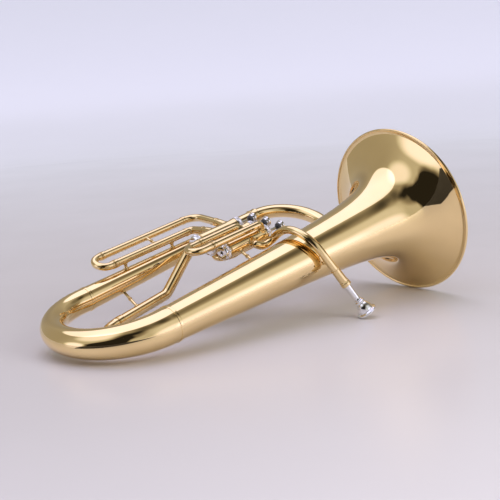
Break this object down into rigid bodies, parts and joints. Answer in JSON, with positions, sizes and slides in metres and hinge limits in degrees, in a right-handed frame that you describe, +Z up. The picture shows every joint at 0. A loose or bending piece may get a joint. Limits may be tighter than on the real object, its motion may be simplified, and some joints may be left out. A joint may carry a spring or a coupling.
{
  "type": "baritone horn",
  "caption": "Valved brass wind instrument with a conical bore: flared bell, bottom and top bows, piston valves with slides, tuning slide with water key, and a removable mouthpiece.",
  "frame": {"origin": "centre of the bounding box on the surface the horn lies on", "axes": "+Z up; the horn lies on its side with the bell rim towards +X and the bottom bow towards -X; +Y runs from the bell tube to the return branch"},
  "size_m": [0.6066, 0.354, 0.255],
  "materials": {
    "lacquered_brass": "mirror polished, clear lacquer",
    "silver_plate": "bright silver plate",
    "nickel": "honed nickel plate",
    "spring_steel": "drawn wire",
    "cork": "sanded cork"
  },
  "bodies": {
    "horn": {"bell": "lacquered_brass", "bell_ferrule": "lacquered_brass", "bottom_bow": "lacquered_brass", "bottom_cap_1": "silver_plate", "bottom_cap_2": "silver_plate", "bottom_cap_3": "silver_plate", "leadpipe": "lacquered_brass", "leadpipe_brace": "lacquered_brass", "main_slide_brace": "lacquered_brass", "main_slide_return_leg": "lacquered_brass", "mouthpiece_receiver": "lacquered_brass", "return_branch": "lacquered_brass", "return_ferrule": "lacquered_brass", "return_leg_brace": "lacquered_brass", "third_slide_brace_lower": "lacquered_brass", "third_slide_brace_upper": "lacquered_brass", "third_slide_tie": "lacquered_brass", "top_bow": "lacquered_brass", "top_bow_ferrule_inner": "lacquered_brass", "top_bow_ferrule_outer": "lacquered_brass", "top_cap_1": "silver_plate", "top_cap_2": "silver_plate", "top_cap_3": "silver_plate", "valve_1_lower_tube": "lacquered_brass", "valve_1_upper_tube": "lacquered_brass", "valve_2_lower_tube": "lacquered_brass", "valve_2_upper_tube": "lacquered_brass", "valve_3_lower_tube": "lacquered_brass", "valve_3_upper_tube": "lacquered_brass", "valve_casing_1": "lacquered_brass", "valve_casing_2": "lacquered_brass", "valve_casing_3": "lacquered_brass", "valve_exit_tube": "lacquered_brass", "valve_link_1_2": "lacquered_brass", "valve_link_2_3": "lacquered_brass", "valve_spring_1": "spring_steel", "valve_spring_2": "spring_steel", "valve_spring_3": "spring_steel", "valve_to_bell_brace": "lacquered_brass"},
    "piston_body_1": {"piston_1": "nickel", "valve_stem_1": "nickel", "finger_button_1": "silver_plate"},
    "valve_slide_body_1": {"valve_1_slide": "lacquered_brass"},
    "piston_body_2": {"piston_2": "nickel", "valve_stem_2": "nickel", "finger_button_2": "silver_plate"},
    "valve_slide_body_2": {"valve_2_slide": "lacquered_brass"},
    "piston_body_3": {"piston_3": "nickel", "valve_stem_3": "nickel", "finger_button_3": "silver_plate"},
    "valve_slide_body_3": {"valve_3_slide": "lacquered_brass"},
    "main_slide_body": {"main_tuning_slide": "lacquered_brass", "water_key_nipple": "lacquered_brass", "water_key_saddle": "lacquered_brass", "water_key_pin": "spring_steel", "water_key_spring": "spring_steel"},
    "water_key_body": {"water_key_lever": "lacquered_brass", "water_key_cork": "cork"},
    "mouthpiece_body": {"mouthpiece": "silver_plate"}
  },
  "joints": [
    {"name": "piston_1_press", "type": "slide", "parent": "horn", "child": "piston_body_1", "axis": [-0.9828, 0.0049, -0.1848], "range_m": [0, 0.016], "stiffness_N_per_m": 120, "springref_m": -0.018, "deforming": ["valve_spring_1"]},
    {"name": "piston_2_press", "type": "slide", "parent": "horn", "child": "piston_body_2", "axis": [-0.9828, 0.0049, -0.1848], "range_m": [0, 0.016], "stiffness_N_per_m": 120, "springref_m": -0.018, "deforming": ["valve_spring_2"]},
    {"name": "piston_3_press", "type": "slide", "parent": "horn", "child": "piston_body_3", "axis": [-0.9828, 0.0049, -0.1848], "range_m": [0, 0.016], "stiffness_N_per_m": 120, "springref_m": -0.018, "deforming": ["valve_spring_3"]},
    {"name": "valve_1_slide_pull", "type": "slide", "parent": "horn", "child": "valve_slide_body_1", "axis": [-0.9828, 0.0049, -0.1848], "range_m": [0, 0.04]},
    {"name": "valve_2_slide_pull", "type": "slide", "parent": "horn", "child": "valve_slide_body_2", "axis": [-0.9828, 0.0049, -0.1848], "range_m": [0, 0.012]},
    {"name": "valve_3_slide_pull", "type": "slide", "parent": "horn", "child": "valve_slide_body_3", "axis": [-0.9828, 0.0049, -0.1848], "range_m": [0, 0.1]},
    {"name": "main_slide_pull", "type": "slide", "parent": "horn", "child": "main_slide_body", "axis": [-0.9712, -0.066, -0.2289], "range_m": [0, 0.055]},
    {"name": "water_key_press", "type": "hinge", "parent": "main_slide_body", "child": "water_key_body", "pos_m": [-0.16761, 0.09772, 0.00518], "axis": [0.1616, -0.9862, -0.036], "range_deg": [0, 12], "stiffness_Nm_per_rad": 0.08, "springref_deg": -20.05},
    {"name": "mouthpiece_pull", "type": "slide", "parent": "horn", "child": "mouthpiece_body", "axis": [0.4988, -0.2634, -0.8257], "range_m": [0, 0.02]}
  ]
}
